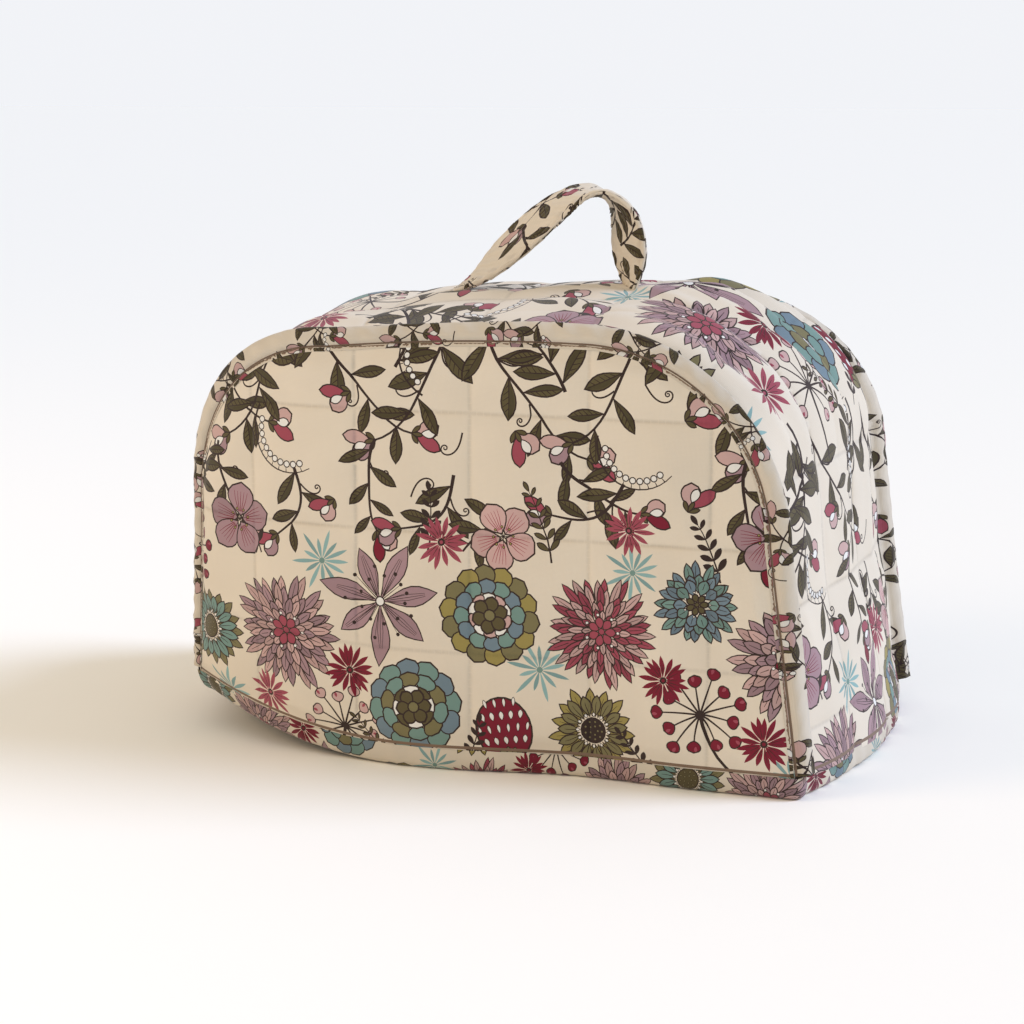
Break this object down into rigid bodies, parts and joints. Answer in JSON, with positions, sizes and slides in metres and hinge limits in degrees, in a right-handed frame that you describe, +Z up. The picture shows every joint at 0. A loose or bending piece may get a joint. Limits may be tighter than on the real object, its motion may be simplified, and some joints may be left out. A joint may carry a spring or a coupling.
{
  "type": "toaster cover",
  "caption": "Quilted cloth cover with a rounded top, bound seams, a bound hem and a looped strap; it drops over a toaster and rests on its hem.",
  "frame": {"origin": "centre of the whole cover's box, at the hem's level", "axes": "+Z up, X along the cover's length, -Y towards the front panel"},
  "size_m": [0.3308, 0.1914, 0.2541],
  "materials": {
    "quilted_cloth": "quilted plain-weave cotton with a floral print on cream",
    "binding_cloth": "folded plain-weave cotton of the same print",
    "strap_cloth": "doubled plain-weave cotton of the same print, stitched at its edges"
  },
  "bodies": {
    "root": {"front_panel": "quilted_cloth", "back_panel": "quilted_cloth", "gusset_left": "quilted_cloth", "gusset_top": "quilted_cloth", "gusset_right": "quilted_cloth", "front_binding": "binding_cloth", "back_binding": "binding_cloth", "hem_binding": "binding_cloth", "handle_strap": "strap_cloth"}
  },
  "joints": []
}
